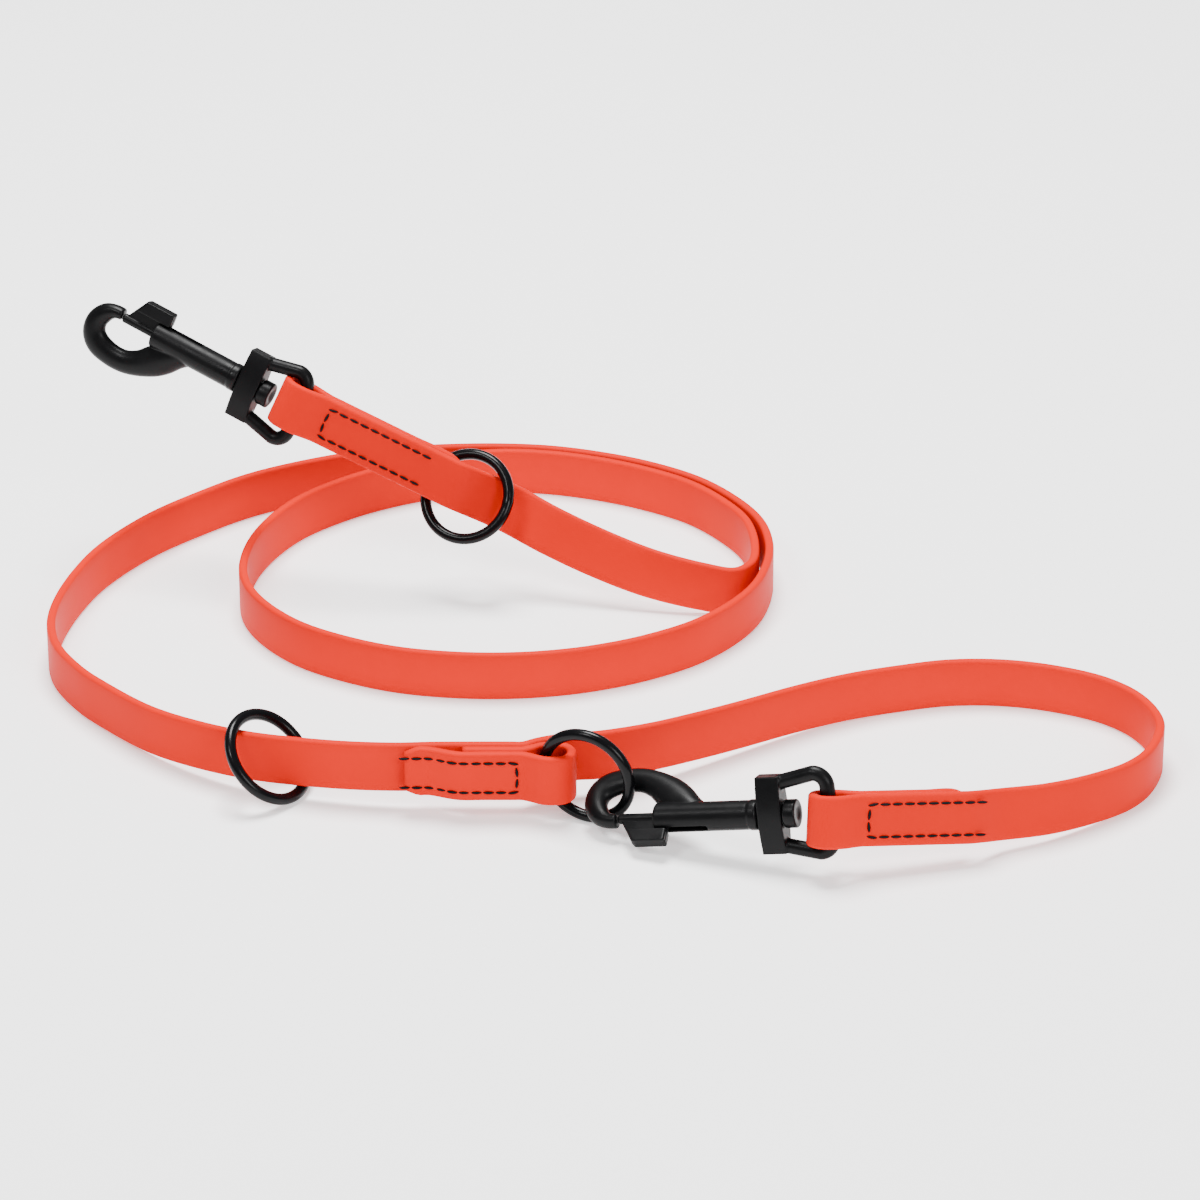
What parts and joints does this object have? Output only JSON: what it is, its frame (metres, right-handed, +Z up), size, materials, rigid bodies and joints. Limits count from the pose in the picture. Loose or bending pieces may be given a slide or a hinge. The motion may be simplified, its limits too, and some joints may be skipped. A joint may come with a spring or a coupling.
{
  "type": "training leash",
  "caption": "Orange-red coated strap leash with a swivel bolt snap at each end and round rings, coiled on its edge, one hook clipped back to a sewn-on ring as a hand loop",
  "frame": {"origin": "bottom centre of the laid-out leash, on the ground", "axes": "+Z up; the coils lie in XY with the raised free hook towards -X and the hand loop towards +X and -Y"},
  "size_m": [0.4372, 0.3472, 0.1114],
  "materials": {
    "strap": "smooth satin orange-red coating over webbing",
    "thread": "black stitching thread",
    "ring": "glossy black coated steel",
    "hardware": "satin black coated zinc casting",
    "spring": "bright spring wire"
  },
  "bodies": {
    "strap": {"main_strap": "strap", "ring_tab": "strap", "free_end_seam_front": "thread", "free_end_seam_back": "thread", "handle_end_seam_front": "thread", "handle_end_seam_back": "thread", "ring_tab_seam_front": "thread", "ring_tab_seam_back": "thread"},
    "coil_ring": {"coil_ring": "ring"},
    "front_ring": {"front_ring": "ring"},
    "tab_ring": {"tab_ring": "ring"},
    "free_eye": {"free_hook_eye": "hardware"},
    "free_hook": {"free_hook_stud": "hardware", "free_hook_body": "hardware", "free_hook_spring": "spring"},
    "free_bolt": {"free_hook_bolt": "hardware"},
    "handle_eye": {"handle_hook_eye": "hardware"},
    "handle_hook": {"handle_hook_stud": "hardware", "handle_hook_body": "hardware", "handle_hook_spring": "spring"},
    "handle_bolt": {"handle_hook_bolt": "hardware"}
  },
  "joints": [
    {"name": "coil_ring_slide", "type": "slide", "parent": "strap", "child": "coil_ring", "axis": [0.8976, -0.1961, -0.3948], "range_m": [-0.002, 0.004]},
    {"name": "front_ring_slide", "type": "slide", "parent": "strap", "child": "front_ring", "axis": [0.953, -0.3009, 0.0351], "range_m": [-0.004, 0.004]},
    {"name": "tab_ring_hinge", "type": "hinge", "parent": "strap", "child": "tab_ring", "pos_m": [-0.01917, -0.11817, 0.01753], "axis": [0, 0, 1], "range_deg": [-1, 1]},
    {"name": "free_eye_hinge", "type": "hinge", "parent": "strap", "child": "free_eye", "pos_m": [-0.12137, 0.08479, 0.07524], "axis": [0.4014, 0.1215, 0.9078], "range_deg": [-45, 45]},
    {"name": "free_hook_swivel", "type": "hinge", "parent": "free_eye", "child": "free_hook", "pos_m": [-0.14725, 0.09627, 0.08515], "axis": [-0.8628, 0.3828, 0.3303], "continuous": true},
    {"name": "free_bolt_slide", "type": "slide", "parent": "free_hook", "child": "free_bolt", "axis": [0.8628, -0.3828, -0.3303], "range_m": [0, 0.014], "stiffness_N_per_m": 250, "springref_m": -0.006, "deforming": ["free_hook_spring"]},
    {"name": "handle_eye_hinge", "type": "hinge", "parent": "strap", "child": "handle_eye", "pos_m": [0.08683, -0.16367, 0.02543], "axis": [-0.1201, 0.2666, 0.9563], "range_deg": [-0.5, 0.5]},
    {"name": "handle_hook_swivel", "type": "hinge", "parent": "handle_eye", "child": "handle_hook", "pos_m": [0.05885, -0.15468, 0.01941], "axis": [-0.9328, 0.2995, -0.2006], "range_deg": [-3, 3]},
    {"name": "handle_bolt_slide", "type": "slide", "parent": "handle_hook", "child": "handle_bolt", "axis": [0.9328, -0.2995, 0.2006], "range_m": [0, 0.014], "stiffness_N_per_m": 250, "springref_m": -0.006, "deforming": ["handle_hook_spring"]}
  ]
}
